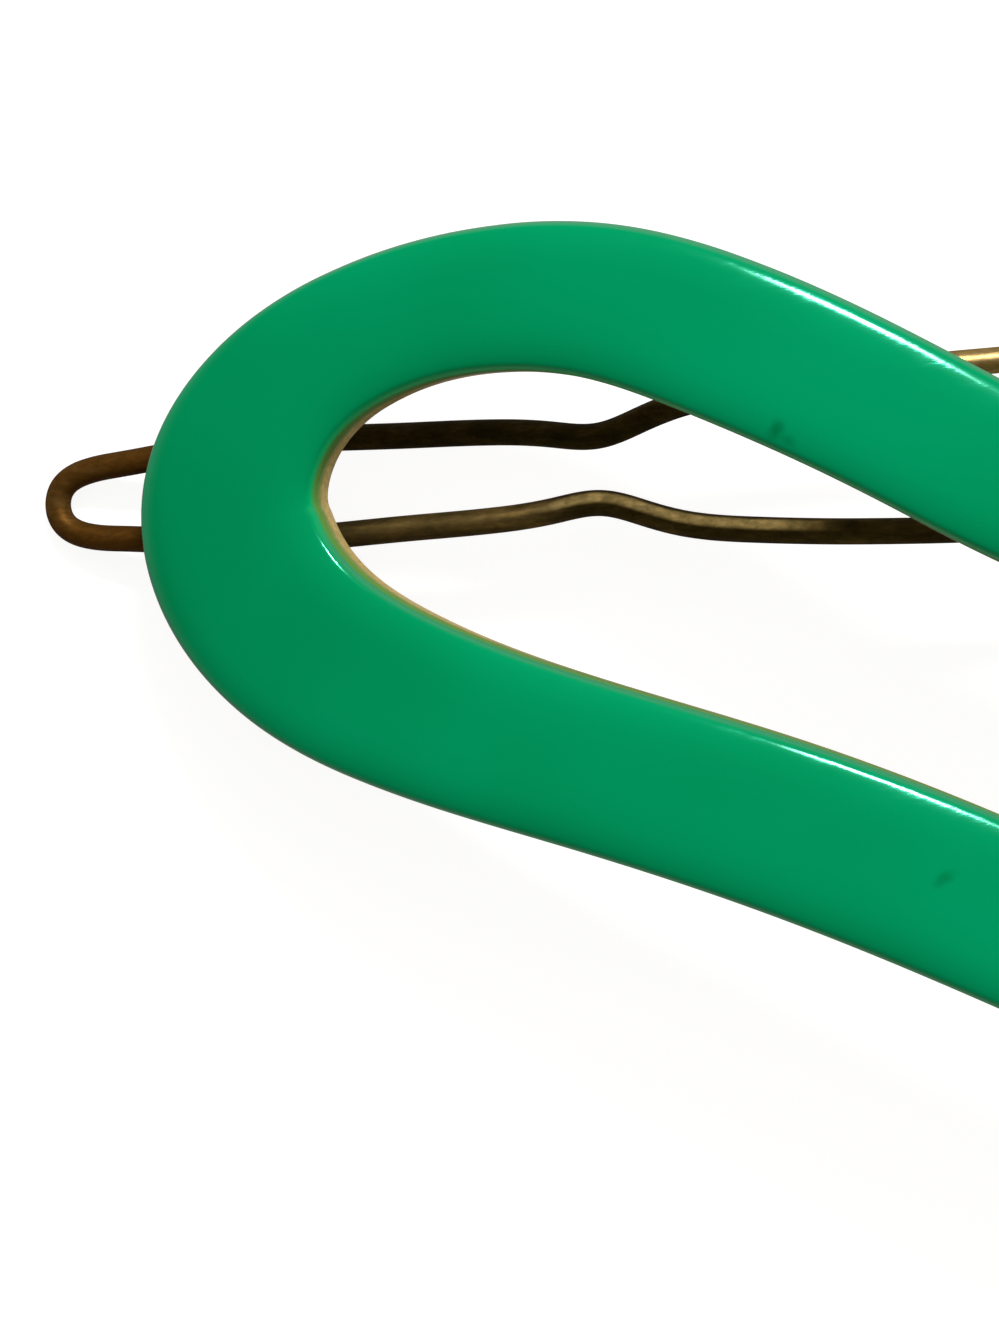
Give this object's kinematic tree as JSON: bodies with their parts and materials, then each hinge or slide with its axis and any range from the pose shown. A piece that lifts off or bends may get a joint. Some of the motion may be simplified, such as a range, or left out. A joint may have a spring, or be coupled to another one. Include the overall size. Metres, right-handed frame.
{
  "type": "hair barrette",
  "caption": "Arched open loop of green enamel on stamped brass, with a hinged wire hairpin tongue and a springy pinch catch behind it for holding hair.",
  "frame": {"origin": "under the middle of the footprint, level with the lowest point, the tip of the wire tongue", "axes": "+X runs along the clasp from the catch to the hinge, +Y towards the loop's crests, +Z out of the enamelled front"},
  "size_m": [0.0982, 0.039, 0.0165],
  "materials": {
    "plate_brass": "stamped, worn satin with a rubbed edge",
    "green_enamel": "poured enamel, domed and highly glossy",
    "aged_wire": "dark brown patina, rubbed bright on the high sides",
    "fitting_brass": "sheet, dull",
    "solder": "dull grey solder"
  },
  "bodies": {
    "ornament": {"frame_plate": "plate_brass", "enamel_face": "green_enamel", "hinge_plate": "fitting_brass", "hinge_solder": "solder", "catch_plate": "fitting_brass", "catch_solder": "solder"},
    "tongue": {"wire_tongue": "aged_wire"},
    "upper_ear": {"catch_ear_upper": "fitting_brass"},
    "lower_ear": {"catch_ear_lower": "fitting_brass"}
  },
  "joints": [
    {"name": "tongue_hinge", "type": "hinge", "parent": "ornament", "child": "tongue", "pos_m": [0.04513, 0.00868, 0.00307], "axis": [0, -1, 0], "range_deg": [0, 180]},
    {"name": "upper_ear_flex", "type": "hinge", "parent": "ornament", "child": "upper_ear", "pos_m": [-0.03961, 0.00951, 0.00463], "axis": [-0.9158, 0, -0.4017], "range_deg": [0, 8], "stiffness_Nm_per_rad": 0.05},
    {"name": "lower_ear_flex", "type": "hinge", "parent": "ornament", "child": "lower_ear", "pos_m": [-0.03961, 0.00785, 0.00463], "axis": [0.9158, 0, 0.4017], "range_deg": [0, 8], "stiffness_Nm_per_rad": 0.05}
  ]
}
